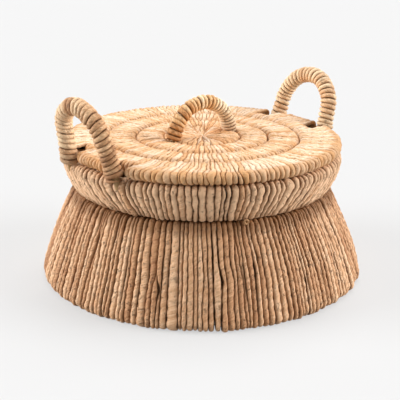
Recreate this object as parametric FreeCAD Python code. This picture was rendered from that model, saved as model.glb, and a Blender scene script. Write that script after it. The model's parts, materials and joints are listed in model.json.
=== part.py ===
"""Lidded tortilla warmer: a flared basket of cord wound over wire hoops, with a flat notched lid.

The basket is a set of wound bands. Each band is a pair of wire hoops held apart by struts, with cord
wound over both hoops, so its wall is two layers of cord with the wires between them. The bands are
laced together along the grooves where they meet. Three wound bows are the handles: two stand on the
rim and lean outwards, and one stands on the lid. The lid has four notches for the legs of the side
handles, and it lifts straight up between them.

Frame: millimetres, +Z up, origin on the surface that the basket stands on, under its centre.
+X runs from the left handle to the right handle.
"""

import FreeCAD, Part

import math
import os
from dataclasses import dataclass

V = FreeCAD.Vector
ORIGIN = V(0, 0, 0)
UP = V(0, 0, 1)

# Basket wall
BODY_CORD = 4.8
BODY_WIRE = 4.0
BASE_OUTER_RADIUS = 150.0
WAIST_OUTER_RADIUS = 120.8
COLLAR_FLARE = 7.4
SKIRT_HEIGHT = 84.4
COLLAR_HEIGHT = 33.6
SKIRT_BULGE = 2.0
COLLAR_BULGE = 1.0
FOOT_FLAT_DEPTH = 0.5
BODY_STRUT_COUNT = 12

# Flat discs: the lid and the basket's floor
DISC_CORD = 3.9
DISC_WIRE = 3.0
DISC_STRUT_COUNT = 8
FLOOR_CENTRE_RADIUS = 35.3
FLOOR_BAND_COUNT = 3
LID_EDGE_INSET = 0.2
LID_BAND_1_WIDTH = 25.6
LID_BAND_2_WIDTH = 28.4

# Side handles, measured along their own leaning plane
GRIP_CORD = 4.5
CORE_DIAMETER = 5.8
HANDLE_TURN_GAP = 1.4
HANDLE_LEAN = math.radians(15.4)
HANDLE_SWING = math.radians(1.7)
HANDLE_FOOT_INSET = 5.7
HANDLE_HALF_SPAN = 34.0
HANDLE_LEG_DEPTH = 9.0
LEFT_RISE = 57.3
LEFT_CROWN_INSET = 4.0
RIGHT_RISE = 53.5
RIGHT_CROWN_INSET = 2.0

# Lid handle
LID_HANDLE_FOOT_INSET = 2.0
LID_HANDLE_RISE = 29.8
LID_HANDLE_CROWN_INSET = 0.8
LID_GRIP_CORD = 4.1
LID_CORE_DIAMETER = 4.4
LID_HANDLE_TURN_GAP = 1.3

# Notches in the lid's rim, one round each leg
NOTCH_INNER_CLEARANCE = 2.3
NOTCH_OUTER_CLEARANCE = 1.2
NOTCH_DEPTH_CLEARANCE = 8.3
NOTCH_CORNER_RADIUS = 4.0
NOTCH_WEB = 17.2
TONGUE_INSET = 2.6

# Fits
WIRE_CLEARANCE = 0.25
SEAM_CLEARANCE = 0.1
LID_CLEARANCE = 0.3
WINDING_CLEARANCE = 0.3
LACING_DIAMETER = 2.4
POINTS_PER_TURN = 24

# Worked out from the sizes above
BODY_HALF = BODY_CORD + BODY_WIRE / 2
DISC_HALF = DISC_CORD + DISC_WIRE / 2
GRIP_RADIUS = CORE_DIAMETER / 2 + WINDING_CLEARANCE + GRIP_CORD
RIM_OUTER_RADIUS = WAIST_OUTER_RADIUS + COLLAR_FLARE
RIM_HEIGHT = SKIRT_HEIGHT + COLLAR_HEIGHT
HANDLE_FOOT_RADIUS = RIM_OUTER_RADIUS - HANDLE_FOOT_INSET
LID_RADIUS = RIM_OUTER_RADIUS - LID_EDGE_INSET
LID_MID_HEIGHT = RIM_HEIGHT + LID_CLEARANCE + DISC_HALF
LID_TOP = LID_MID_HEIGHT + DISC_HALF
TONGUE_OUTER_RADIUS = LID_RADIUS - TONGUE_INSET
NOTCH_NEAR = HANDLE_HALF_SPAN - GRIP_RADIUS - NOTCH_INNER_CLEARANCE
NOTCH_FAR = HANDLE_HALF_SPAN + GRIP_RADIUS + NOTCH_OUTER_CLEARANCE
NOTCH_BOTTOM = HANDLE_FOOT_RADIUS - GRIP_RADIUS - NOTCH_DEPTH_CLEARANCE
LID_GROOVE_RADII = (
    NOTCH_BOTTOM - NOTCH_WEB - LID_BAND_2_WIDTH - LID_BAND_1_WIDTH,
    NOTCH_BOTTOM - NOTCH_WEB - LID_BAND_2_WIDTH,
    NOTCH_BOTTOM - NOTCH_WEB,
)
LID_HANDLE_HALF_SPAN = LID_GROOVE_RADII[0] - LID_HANDLE_FOOT_INSET


@dataclass(frozen=True)
class Hoop:
    """A wire ring about the basket's axis, given by where its wire's centre runs."""

    radius: float
    height: float
    wire: float

    @property
    def point(self):
        """The centre of the wire in the XZ half-plane."""
        return V(self.radius, 0, self.height)

    def solid(self):
        """The ring itself."""
        return Part.makeTorus(self.radius, self.wire / 2, V(0, 0, self.height), UP)


BASE_HOOP = Hoop(BASE_OUTER_RADIUS - BODY_HALF, BODY_HALF - FOOT_FLAT_DEPTH, BODY_WIRE)
SKIRT_TOP_HOOP = Hoop(WAIST_OUTER_RADIUS - BODY_HALF, SKIRT_HEIGHT - BODY_HALF, BODY_WIRE)
COLLAR_BOTTOM_HOOP = Hoop(
    WAIST_OUTER_RADIUS - BODY_HALF, SKIRT_HEIGHT + SEAM_CLEARANCE + BODY_HALF, BODY_WIRE
)
RIM_HOOP = Hoop(RIM_OUTER_RADIUS - BODY_HALF, RIM_HEIGHT - BODY_HALF, BODY_WIRE)


def export(shape, node):
    """Writes one node's solids to its STEP file and says what they are."""
    solids = shape.Solids
    Part.makeCompound(solids).exportStep(f"parts/{node}.step")
    volume = sum(solid.Volume for solid in solids)
    valid = all(solid.isValid() for solid in solids)
    print(f"{node:24s} solids {len(solids):3d}  volume {volume:10.1f} mm3  valid {valid}")


# Wound bands

def middle_line(start, end, bulge):
    """The line from start to end that a band's struts follow, as an edge: an arc if it bulges."""
    if bulge == 0:
        return Part.LineSegment(start, end).toShape()
    along = (end - start).normalize()
    outward = V(along.z, 0, -along.x)
    crown = (start + end) * 0.5 + outward * (bulge if outward.x > 0 else -bulge)
    return Part.Arc(start, crown, end).toShape()


def band_section(start, end, half, bulge):
    """A face in the XZ half-plane: all that lies within half of the line from start to end."""
    line = middle_line(start, end, bulge)
    first, last = line.ParameterRange
    middle = (first + last) / 2
    sides = []
    for sign in (1, -1):
        points = []
        for parameter in (first, middle, last):
            tangent = line.tangentAt(parameter)
            across = V(tangent.z, 0, -tangent.x) * (sign * half)
            points.append(line.valueAt(parameter) + across)
        sides.append(points)
    start_cap = line.valueAt(first) - line.tangentAt(first) * half
    end_cap = line.valueAt(last) + line.tangentAt(last) * half

    def side(points):
        if bulge == 0:
            return Part.LineSegment(points[0], points[2])
        return Part.Arc(points[0], points[1], points[2])

    outline = Part.Wire(
        [
            side(sides[0]).toShape(),
            Part.Arc(sides[0][2], end_cap, sides[1][2]).toShape(),
            side(sides[1]).toShape(),
            Part.Arc(sides[1][0], start_cap, sides[0][0]).toShape(),
        ]
    )
    return Part.Face(outline)


def spin(face):
    """The solid that a face in the XZ half-plane sweeps in one turn about the basket's axis."""
    return face.revolve(ORIGIN, UP, 360)


def band_shell(inner, outer, cord, bulge=0.0):
    """The cord of one band: the wall round two hoops, less the room between its two layers."""
    wire_room = inner.wire / 2 + WIRE_CLEARANCE
    half = inner.wire / 2 + cord
    wall = spin(band_section(inner.point, outer.point, half, bulge))
    room = spin(band_section(inner.point, outer.point, wire_room, bulge))
    return wall.cut(room)


def band_struts(inner, outer, count, diameter, bulge=0.0, turn=0.0):
    """Short wires from one hoop to the other, spaced evenly and cut to sit on both hoops."""
    line = middle_line(inner.point, outer.point, bulge)
    start = line.valueAt(line.FirstParameter)
    tangent = line.tangentAt(line.FirstParameter)
    profile = Part.Wire(Part.Circle(start, tangent, diameter / 2).toShape())
    strut = Part.Wire(line).makePipeShell([profile], True, False)
    strut = Part.Solid(strut).cut(inner.solid()).cut(outer.solid())
    strut = max(strut.Solids, key=lambda solid: solid.Volume)
    struts = []
    for number in range(count):
        copy = strut.copy()
        copy.rotate(ORIGIN, UP, math.degrees(turn) + 360.0 * number / count)
        struts.append(copy)
    return Part.makeCompound(struts)


def lacing_ring(radius, height, half, side):
    """The lacing cord laid in the groove between two bands that meet at radius and height.

    half is the bands' half thickness, and side is the direction in the XZ half-plane that the
    groove opens to.
    """
    cord = LACING_DIAMETER / 2
    reach = math.sqrt((half + cord + SEAM_CLEARANCE) ** 2 - half**2)
    centre = V(radius, 0, height) + side * reach
    return Part.makeTorus(centre.x, cord, V(0, 0, centre.z), UP)


# Handles

@dataclass(frozen=True)
class Bow:
    """A bow handle in its own plane: two straight legs that lean in to a round crown.

    base is the point midway between the feet, span the direction from foot to foot, and rise the
    direction from base to crown. Heights along rise are counted from base. crown_inset is how much
    less the crown's radius is than half the span.
    """

    base: FreeCAD.Vector
    span: FreeCAD.Vector
    rise: FreeCAD.Vector
    half_span: float
    height: float
    crown_inset: float
    core_diameter: float
    cord: float
    turn_gap: float

    @property
    def crown_radius(self):
        """The radius of the crown's line."""
        return self.half_span - self.crown_inset

    @property
    def crown_centre(self):
        """How far the crown's centre stands above the base."""
        return self.height - self.crown_radius

    @property
    def leg_angle(self):
        """The direction in which the foot at +span rises, counted from span, in radians."""
        reach = math.hypot(self.half_span, self.crown_centre)
        to_centre = math.pi - math.atan2(self.crown_centre, self.half_span)
        return to_centre - math.asin(self.crown_radius / reach)

    @property
    def leg_length(self):
        """From the foot to where the leg meets the crown."""
        return math.sqrt(self.half_span**2 + self.crown_centre**2 - self.crown_radius**2)

    @property
    def crown_start(self):
        """The angle at the crown's centre where the crown starts on the +span side."""
        return self.leg_angle - math.pi / 2

    @property
    def length(self):
        """The whole line from foot to foot."""
        return 2 * self.leg_length + self.crown_radius * (math.pi - 2 * self.crown_start)

    def place(self, across, up):
        """A point of the bow's plane in the basket's frame."""
        return self.base + self.span * across + self.rise * up

    def on_leg(self, distance, sign):
        """The point at a distance up one leg, from the foot; sign picks the leg."""
        across = self.half_span + math.cos(self.leg_angle) * distance
        return self.place(sign * across, math.sin(self.leg_angle) * distance)

    def on_crown(self, angle):
        """The point of the crown at an angle from span."""
        return self.place(
            self.crown_radius * math.cos(angle),
            self.crown_centre + self.crown_radius * math.sin(angle),
        )

    def at(self, distance):
        """The point at a distance along the line from the +span foot, and the in-plane normal."""
        crown_length = self.length - 2 * self.leg_length
        if distance < self.leg_length:
            angle = self.crown_start
            point = self.on_leg(distance, 1)
        elif distance > self.leg_length + crown_length:
            angle = math.pi - self.crown_start
            point = self.on_leg(self.length - distance, -1)
        else:
            angle = self.crown_start + (distance - self.leg_length) / self.crown_radius
            point = self.on_crown(angle)
        normal = self.span * math.cos(angle) + self.rise * math.sin(angle)
        return point, normal

    def core(self, leg_depth):
        """The round wire of the bow, with each leg carried on below its foot by leg_depth."""
        low_right, top_right = self.on_leg(-leg_depth, 1), self.on_crown(self.crown_start)
        low_left, top_left = self.on_leg(-leg_depth, -1), self.on_crown(math.pi - self.crown_start)
        path = Part.Wire(
            [
                Part.LineSegment(low_right, top_right).toShape(),
                Part.Arc(top_right, self.on_crown(math.pi / 2), top_left).toShape(),
                Part.LineSegment(top_left, low_left).toShape(),
            ]
        )
        profile = Part.Wire(
            Part.Circle(low_right, low_right - top_right, self.core_diameter / 2).toShape()
        )
        return Part.Solid(path.makePipeShell([profile], True, False))

    def winding(self):
        """The cord wound round the core from foot to foot, as one unbroken tube."""
        side = self.span.cross(self.rise)
        radius = (self.core_diameter + self.cord) / 2 + WINDING_CLEARANCE
        start = self.cord / 2 + WINDING_CLEARANCE
        end = self.length - start
        turns = math.floor((end - start) / (self.cord + self.turn_gap))

        def on_helix(share):
            point, normal = self.at(start + (end - start) * share)
            angle = 2 * math.pi * turns * share
            return point + (normal * math.cos(angle) + side * math.sin(angle)) * radius

        def heading(share):
            step = 1e-5
            return (on_helix(min(share + step, 1)) - on_helix(max(share - step, 0))).normalize()

        quarters = 4 * turns
        path = []
        for number in range(quarters):
            first, last = number / quarters, (number + 1) / quarters
            path += biarc(on_helix(first), heading(first), on_helix(last), heading(last))
        count = POINTS_PER_TURN * turns
        samples = [on_helix(number / count) for number in range(count + 1)]
        print(f"  {turns} turns, least gap to itself {least_gap(samples) - self.cord:.2f} mm")
        profile = Part.Wire(Part.Circle(on_helix(0), heading(0), self.cord / 2).toShape())
        return Part.Solid(Part.Wire(path).makePipeShell([profile], True, False))


def arc_between(start, heading, end):
    """The arc that leaves start along heading and reaches end."""
    chord = end - start
    normal = heading * chord.Length - chord * heading.dot(chord / chord.Length)
    cosine = heading.dot(chord) / chord.Length
    half_angle = math.acos(max(-1.0, min(1.0, cosine)))
    sagitta = chord.Length / 2 * math.tan(half_angle / 2)
    middle = start + chord * 0.5 + normal.normalize() * sagitta
    return Part.Arc(start, middle, end).toShape()


def biarc(start, start_heading, end, end_heading):
    """Two arcs from start to end that share a tangent where they meet and keep both headings."""
    chord = end - start
    together = start_heading + end_heading
    bend = 2 * (1 - start_heading.dot(end_heading))
    slope = chord.dot(together)
    reach = (-slope + math.sqrt(slope**2 + bend * chord.dot(chord))) / bend
    meeting = (start + start_heading * reach + end - end_heading * reach) * 0.5
    backward = arc_between(end, end_heading * -1, meeting)
    middle = backward.valueAt((backward.FirstParameter + backward.LastParameter) / 2)
    return [arc_between(start, start_heading, meeting), Part.Arc(meeting, middle, end).toShape()]


def least_gap(samples):
    """The least distance between points of a winding that lie at least half a turn apart."""
    gap = math.inf
    for first in range(len(samples)):
        for second in range(first + POINTS_PER_TURN // 2, len(samples)):
            gap = min(gap, (samples[first] - samples[second]).Length)
    return gap


def side_bow(azimuth, rise, crown_inset):
    """One side handle, standing on the basket's rim at an azimuth and leaning outwards."""
    outward = V(math.cos(azimuth), math.sin(azimuth), 0)
    span = V(-math.sin(azimuth), math.cos(azimuth), 0)
    return Bow(
        outward * HANDLE_FOOT_RADIUS + UP * RIM_HEIGHT,
        span,
        outward * math.sin(HANDLE_LEAN) + UP * math.cos(HANDLE_LEAN),
        HANDLE_HALF_SPAN,
        rise,
        crown_inset,
        CORE_DIAMETER,
        GRIP_CORD,
        HANDLE_TURN_GAP,
    )


BOWS = {
    "left": side_bow(math.pi + HANDLE_SWING, LEFT_RISE, LEFT_CROWN_INSET),
    "right": side_bow(-HANDLE_SWING, RIGHT_RISE, RIGHT_CROWN_INSET),
}
LID_BOW = Bow(
    UP * LID_TOP,
    V(1, 0, 0),
    UP,
    LID_HANDLE_HALF_SPAN,
    LID_HANDLE_RISE,
    LID_HANDLE_CROWN_INSET,
    LID_CORE_DIAMETER,
    LID_GRIP_CORD,
    LID_HANDLE_TURN_GAP,
)


def leg_room(bow, depth):
    """The room that the cord leaves round both legs of a bow, down to depth below its feet."""
    radius = bow.core_diameter / 2 + WIRE_CLEARANCE
    legs = []
    for sign in (1, -1):
        low = bow.on_leg(-depth, sign)
        axis = bow.on_leg(bow.core_diameter, sign) - low
        legs.append(Part.makeCylinder(radius, axis.Length, low, axis))
    return legs


# The basket

def build_wall():
    """The flared skirt and the collar above it, with their hoops and struts, and the side handles."""
    strut = BODY_WIRE - 2 * WIRE_CLEARANCE
    export(BASE_HOOP.solid(), "base_hoop")
    export(SKIRT_TOP_HOOP.solid(), "skirt_top_hoop")
    export(COLLAR_BOTTOM_HOOP.solid(), "collar_bottom_hoop")
    export(RIM_HOOP.solid(), "rim_hoop")
    skirt = (BASE_HOOP, SKIRT_TOP_HOOP)
    collar = (COLLAR_BOTTOM_HOOP, RIM_HOOP)
    export(band_struts(*skirt, BODY_STRUT_COUNT, strut, SKIRT_BULGE), "skirt_struts")
    export(band_struts(*collar, BODY_STRUT_COUNT, strut, COLLAR_BULGE), "collar_struts")

    under = Part.makeBox(
        2 * BASE_OUTER_RADIUS,
        2 * BASE_OUTER_RADIUS,
        BODY_HALF,
        V(-BASE_OUTER_RADIUS, -BASE_OUTER_RADIUS, -BODY_HALF),
    )
    export(band_shell(*skirt, BODY_CORD, SKIRT_BULGE).cut(under), "skirt_cord")
    collar_cord = band_shell(*collar, BODY_CORD, COLLAR_BULGE)
    for name, bow in BOWS.items():
        for room in leg_room(bow, HANDLE_LEG_DEPTH):
            collar_cord = collar_cord.cut(room)
        core = bow.core(HANDLE_LEG_DEPTH).cut(RIM_HOOP.solid())
        export(max(core.Solids, key=lambda solid: solid.Volume), f"{name}_handle_core")
        export(bow.winding(), f"{name}_handle_cord")
    export(collar_cord, "collar_cord")

    waist_height = SKIRT_HEIGHT + SEAM_CLEARANCE / 2
    waist = lacing_ring(SKIRT_TOP_HOOP.radius, waist_height, BODY_HALF, V(-1, 0, 0))
    export(waist, "waist_lacing")


def disc_band_hoops(inner_groove, outer_groove, height):
    """The two hoops of a flat band that fills the ring between two grooves."""
    inner = Hoop(inner_groove + SEAM_CLEARANCE / 2 + DISC_HALF, height, DISC_WIRE)
    outer = Hoop(outer_groove - SEAM_CLEARANCE / 2 - DISC_HALF, height, DISC_WIRE)
    return inner, outer


def build_centre(name, groove, height, rooms=()):
    """The round middle of a disc: one hoop with cord wound across it."""
    hoop = Hoop(groove - DISC_HALF, height, DISC_WIRE)
    wire_room = DISC_WIRE / 2 + WIRE_CLEARANCE
    faces = []
    for half in (DISC_HALF, wire_room):
        face = band_section(V(0, 0, height), hoop.point, half, 0)
        keep = Part.makeBox(hoop.radius + 2 * half, half, 4 * half, V(0, -half / 2, height - 2 * half))
        faces.append(face.common(keep).Faces[0])
    cord = spin(faces[0]).cut(spin(faces[1]))
    for room in rooms:
        cord = cord.cut(room)
    export(hoop.solid(), f"{name}_hoop")
    export(cord, f"{name}_cord")


def build_band(name, inner_groove, outer_groove, height, rooms=()):
    """One flat band of a disc: two hoops, their struts and the cord wound over them."""
    inner, outer = disc_band_hoops(inner_groove, outer_groove, height)
    export(inner.solid(), f"{name}_inner_hoop")
    export(outer.solid(), f"{name}_outer_hoop")
    strut = DISC_WIRE - 2 * WIRE_CLEARANCE
    turn = math.pi / DISC_STRUT_COUNT
    export(band_struts(inner, outer, DISC_STRUT_COUNT, strut, 0.0, turn), f"{name}_struts")
    cord = band_shell(inner, outer, DISC_CORD)
    for room in rooms:
        cord = cord.cut(room)
    export(cord, f"{name}_cord")


def build_floor():
    """The basket's floor: a centre and equal bands round it, out to the skirt inside the base hoop."""
    height = BASE_HOOP.height
    wall = middle_line(BASE_HOOP.point, SKIRT_TOP_HOOP.point, SKIRT_BULGE)
    wall_steepness = wall.tangentAt(wall.FirstParameter).z
    inset = (BODY_HALF + DISC_HALF + SEAM_CLEARANCE) / wall_steepness
    edge = BASE_HOOP.radius - inset + DISC_HALF + SEAM_CLEARANCE / 2
    band_width = (edge - FLOOR_CENTRE_RADIUS) / FLOOR_BAND_COUNT
    grooves = [FLOOR_CENTRE_RADIUS + band_width * number for number in range(FLOOR_BAND_COUNT)]
    build_centre("floor_centre", FLOOR_CENTRE_RADIUS, height)
    for number, groove in enumerate(grooves, start=1):
        build_band(f"floor_band_{number}", groove, groove + band_width, height)
    rings = [lacing_ring(radius, height, DISC_HALF, UP) for radius in grooves]
    export(Part.makeCompound(rings), "floor_lacings")


# The lid

def notch(bow, sign, growth):
    """The room for one leg of a side handle in the lid's rim, grown by growth on its closed sides."""
    outward = bow.span.cross(UP)
    near = NOTCH_NEAR - growth
    far = NOTCH_FAR + growth
    bottom = NOTCH_BOTTOM - growth
    top = LID_RADIUS + GRIP_RADIUS
    corner = NOTCH_CORNER_RADIUS + growth
    low = LID_MID_HEIGHT - 2 * DISC_HALF

    def at(out, across):
        return outward * out + bow.span * (sign * across) + UP * low

    bend = corner * (1 - math.sqrt(0.5))
    outline = Part.Wire(
        [
            Part.LineSegment(at(top, near), at(bottom + corner, near)).toShape(),
            Part.Arc(
                at(bottom + corner, near), at(bottom + bend, near + bend), at(bottom, near + corner)
            ).toShape(),
            Part.LineSegment(at(bottom, near + corner), at(bottom, far - corner)).toShape(),
            Part.Arc(
                at(bottom, far - corner), at(bottom + bend, far - bend), at(bottom + corner, far)
            ).toShape(),
            Part.LineSegment(at(bottom + corner, far), at(top, far)).toShape(),
            Part.LineSegment(at(top, far), at(top, near)).toShape(),
        ]
    )
    return Part.Face(outline).extrude(UP * (4 * DISC_HALF))


def tongue_trim(bow, growth):
    """What is taken off the end of the lid's tongue between two notches, so that it clears the crown."""
    outward = bow.span.cross(UP)
    low = LID_MID_HEIGHT - 2 * DISC_HALF
    half_width = HANDLE_HALF_SPAN
    depth = LID_RADIUS - TONGUE_OUTER_RADIUS
    ring = Part.makeCylinder(LID_RADIUS + depth, 4 * DISC_HALF, UP * low)
    ring = ring.cut(Part.makeCylinder(TONGUE_OUTER_RADIUS - growth, 4 * DISC_HALF, UP * low))
    near = outward * NOTCH_BOTTOM
    corners = [near + bow.span * half_width, near - bow.span * half_width]
    corners += [corners[1] + outward * LID_RADIUS, corners[0] + outward * LID_RADIUS]
    outline = Part.makePolygon([corner + UP * low for corner in corners + corners[:1]])
    return ring.common(Part.Face(outline).extrude(UP * (4 * DISC_HALF)))


def rim_wires(hoop_radius, inner_hoop):
    """The bent wires that stiffen the lid's rim: two long arcs and two short tongues.

    Each leaves the band's inner hoop, runs out beside a notch, follows the edge and comes back.
    """
    inset = DISC_HALF
    near = NOTCH_NEAR - inset
    far = NOTCH_FAR + inset
    tongue_radius = TONGUE_OUTER_RADIUS - inset

    def bent(direction_a, across_a, direction_b, across_b, radius, middle):
        """A wire from the inner hoop out to radius at one side, round the edge and back."""
        ends = []
        for direction, across in ((direction_a, across_a), (direction_b, across_b)):
            sideways = UP.cross(direction)
            ends.append(
                [
                    direction * math.sqrt(reach**2 - across**2) + sideways * across
                    for reach in (inner_hoop.radius, radius)
                ]
            )
        lift = UP * LID_MID_HEIGHT
        (low_a, top_a), (low_b, top_b) = ends
        legs = [
            Part.LineSegment(low_a + lift, top_a + lift).toShape(),
            Part.LineSegment(top_b + lift, low_b + lift).toShape(),
        ]
        edge = Part.Arc(top_a + lift, middle * radius + lift, top_b + lift).toShape()
        profile = Part.Wire(
            Part.Circle(low_a + lift, (top_a - low_a).normalize(), DISC_WIRE / 2).toShape()
        )
        path = Part.Wire([legs[0], edge, legs[1]])
        wire = Part.Solid(path.makePipeShell([profile], True, False, 2))
        return max(wire.cut(inner_hoop.solid()).Solids, key=lambda solid: solid.Volume)

    left, right = (BOWS[side].span.cross(UP) for side in ("left", "right"))
    return [
        bent(right, far, left, -far, hoop_radius, V(0, 1, 0)),
        bent(left, far, right, -far, hoop_radius, V(0, -1, 0)),
        bent(left, -near, left, near, tongue_radius, left),
        bent(right, -near, right, near, tongue_radius, right),
    ]


def build_lid_rim():
    """The lid's outer band, with its four notches, its two tongues and the wires inside them."""
    inner = Hoop(LID_GROOVE_RADII[2] + SEAM_CLEARANCE / 2 + DISC_HALF, LID_MID_HEIGHT, DISC_WIRE)
    outer = Hoop(LID_RADIUS - DISC_HALF, LID_MID_HEIGHT, DISC_WIRE)
    wire_room = DISC_WIRE / 2 + WIRE_CLEARANCE
    wall = spin(band_section(inner.point, outer.point, DISC_HALF, 0))
    room = spin(band_section(inner.point, outer.point, wire_room, 0))
    for bow in BOWS.values():
        wall = wall.cut(tongue_trim(bow, 0.0))
        room = room.cut(tongue_trim(bow, DISC_HALF - wire_room))
        for sign in (1, -1):
            wall = wall.cut(notch(bow, sign, 0.0))
            room = room.cut(notch(bow, sign, DISC_HALF - wire_room))
    export(wall.cut(room), "lid_rim_cord")
    export(inner.solid(), "lid_rim_inner_hoop")
    export(Part.makeCompound(rim_wires(outer.radius, inner)), "lid_rim_wires")


def build_lid():
    """The lid: a centre, two bands and the notched rim, laced together, with its bow handle."""
    depth = DISC_HALF
    rooms = leg_room(LID_BOW, depth)
    build_centre("lid_centre", LID_GROOVE_RADII[0], LID_MID_HEIGHT, rooms)
    build_band("lid_band_1", *LID_GROOVE_RADII[0:2], LID_MID_HEIGHT, rooms)
    build_band("lid_band_2", *LID_GROOVE_RADII[1:3], LID_MID_HEIGHT)
    build_lid_rim()
    down = UP * -1
    rings = [lacing_ring(radius, LID_MID_HEIGHT, DISC_HALF, down) for radius in LID_GROOVE_RADII]
    export(Part.makeCompound(rings), "lid_lacings")
    export(LID_BOW.core(depth), "lid_handle_core")
    export(LID_BOW.winding(), "lid_handle_cord")


def main():
    """Builds every node and writes it to parts/."""
    os.makedirs("parts", exist_ok=True)
    build_wall()
    build_floor()
    build_lid()


main()
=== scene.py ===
"""Looks for a lidded basket of twisted rush cord, wound over wire hoops and laced into bands.

Every band of the basket and its lid is a ring of separate cords, each a closed loop round the
band's two hoops. The three bow handles are wound with one long cord each. All lengths are in metres,
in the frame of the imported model: +X runs from the left handle to the right handle and +Z is up.
"""

from __future__ import annotations

import json
import logging
import math
from dataclasses import dataclass, fields, replace
from enum import Enum
from typing import Sequence

import bpy
import numpy as np
from mathutils import Matrix, Vector

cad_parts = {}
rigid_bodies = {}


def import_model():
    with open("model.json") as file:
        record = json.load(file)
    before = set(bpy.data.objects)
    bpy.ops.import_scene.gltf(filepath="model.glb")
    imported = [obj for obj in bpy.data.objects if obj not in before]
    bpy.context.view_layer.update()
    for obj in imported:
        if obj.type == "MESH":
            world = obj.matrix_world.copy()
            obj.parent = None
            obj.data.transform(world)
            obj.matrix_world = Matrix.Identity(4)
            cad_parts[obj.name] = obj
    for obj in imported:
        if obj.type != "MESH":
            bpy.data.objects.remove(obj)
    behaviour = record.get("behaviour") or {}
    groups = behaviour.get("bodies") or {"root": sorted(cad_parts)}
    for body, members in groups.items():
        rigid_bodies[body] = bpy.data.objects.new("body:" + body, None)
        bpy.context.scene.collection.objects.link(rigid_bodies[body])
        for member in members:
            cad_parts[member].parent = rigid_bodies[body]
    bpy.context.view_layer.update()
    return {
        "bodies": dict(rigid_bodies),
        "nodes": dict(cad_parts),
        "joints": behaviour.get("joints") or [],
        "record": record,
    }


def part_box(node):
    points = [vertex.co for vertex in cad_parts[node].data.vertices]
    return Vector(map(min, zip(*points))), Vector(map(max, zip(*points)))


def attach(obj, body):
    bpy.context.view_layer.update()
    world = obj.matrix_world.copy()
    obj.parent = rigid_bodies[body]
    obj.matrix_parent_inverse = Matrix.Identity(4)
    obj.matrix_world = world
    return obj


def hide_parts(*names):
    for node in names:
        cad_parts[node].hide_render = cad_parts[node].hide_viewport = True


LOG = logging.getLogger("basket")
MM = 0.001
TURN = 2 * math.pi
UP = np.array([0.0, 0.0, 1.0])
# The azimuth that the camera looks from.
FRONT = math.radians(-129.0)
# Turn of both side handles off the X axis, towards the front.
SWING = math.radians(1.7)
TWIST_PITCH = 9 * MM
# The foot's cords are pressed flat, this far above the table.
TABLE_GAP = 0.05 * MM


class Body(str, Enum):
    """The two bodies that pieces ride on."""

    BASKET = "basket"
    LID = "lid"


class Slot(str, Enum):
    """The record's material slots."""

    RUSH = "rush_cord"
    LID = "lid_cord"
    HANDLE = "handle_cord"
    LACING = "lacing"
    CANE = "cane_core"
    WIRE = "wire"


# Materials

# How often each pattern on the leaf repeats, per metre: blotches of about 14 mm, ripples of about
# 4 mm, nicks of about 3 mm, fibres of about 9 mm and breaks in a seam of about 12 mm.
BLOTCHES, RIPPLES, NICKS, FIBRES, SEAM_BREAKS = 70.0, 240.0, 340.0, 110.0, 85.0
# Fibres side by side in one turn round the cord.
FIBRES_ROUND = 9.0
# Steps between one cord and the next, and between a cord's two sides, so that no two look alike.
FIBRE_STEP, SEAM_STEP, SIDE_STEP = 37.0, 61.0, 17.0
# Where each pattern starts and where it is full, as a Map Range node's inputs.
FOLD_EDGE = {"From Min": 0.34, "From Max": 0.5}
PATCH_EDGE = {"From Min": 0.42, "From Max": 0.68}
NICK_EDGE = {"From Min": 0.62, "From Max": 0.72}
BREAK_EDGE = {"From Min": 0.40, "From Max": 0.60, "To Min": 0.15, "To Max": 1.0}
SEAM_EDGE = {"From Min": 0.84, "From Max": 1.05}
TURNED_SHADE_EDGE = {"From Min": 0.3, "From Max": 1.0}
# How far ripples bend a fold, blotches and fibres change the tone, fibres fray a seam, and ripples
# and folds raise the surface.
BEND, BLOTCH_TONE, FIBRE_TONE, FRAY, LUMP, FOLD_HEIGHT = 1.6, 0.9, 1.5, 0.12, 0.9, -0.9


def linear(hex_colour: str) -> tuple[float, float, float, float]:
    """Turns an sRGB hex colour into linear values.

    Args:
        hex_colour: Six hex digits.

    Returns:
        Red, green, blue and an alpha of 1.
    """
    channels = [int(hex_colour[start : start + 2], 16) / 255 for start in (0, 2, 4)]
    values = [c / 12.92 if c <= 0.04045 else ((c + 0.055) / 1.055) ** 2.4 for c in channels]
    return values[0], values[1], values[2], 1.0


class Shader:
    """The nodes of a material or world under construction."""

    def __init__(self, owner: bpy.types.Material | bpy.types.World) -> None:
        """Starts an empty node tree.

        Args:
            owner: The material or world that the nodes are for.
        """
        owner.use_nodes = True
        self.tree = owner.node_tree
        self.tree.nodes.clear()

    def add(
        self,
        kind: str,
        inputs: Sequence | dict = (),
        output: int | str = 0,
        stops: Sequence[tuple[float, str]] = (),
        **settings,
    ) -> bpy.types.NodeSocket | None:
        """Adds one node, with its settings and links.

        Args:
            kind: The node's type, after "ShaderNode".
            inputs: A value or another node's output for each socket, in order or by name or number.
            output: Name or number of the output that is wanted.
            stops: Positions and sRGB hex colours of a colour ramp.
            **settings: Properties of the node.

        Returns:
            The output that is wanted, or None where the node has none.
        """
        node = self.tree.nodes.new("ShaderNode" + kind)
        for key, value in settings.items():
            setattr(node, key, value)
        given = inputs if isinstance(inputs, dict) else dict(enumerate(inputs))
        for key, value in given.items():
            if isinstance(value, bpy.types.NodeSocket):
                self.tree.links.new(value, node.inputs[key])
            else:
                node.inputs[key].default_value = value
        if stops:
            elements = node.color_ramp.elements
            while len(elements) < len(stops):
                elements.new(0.5)
            for element, (position, colour) in zip(elements, stops):
                element.position, element.color = position, linear(colour)
        return node.outputs[output] if node.outputs else None


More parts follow.
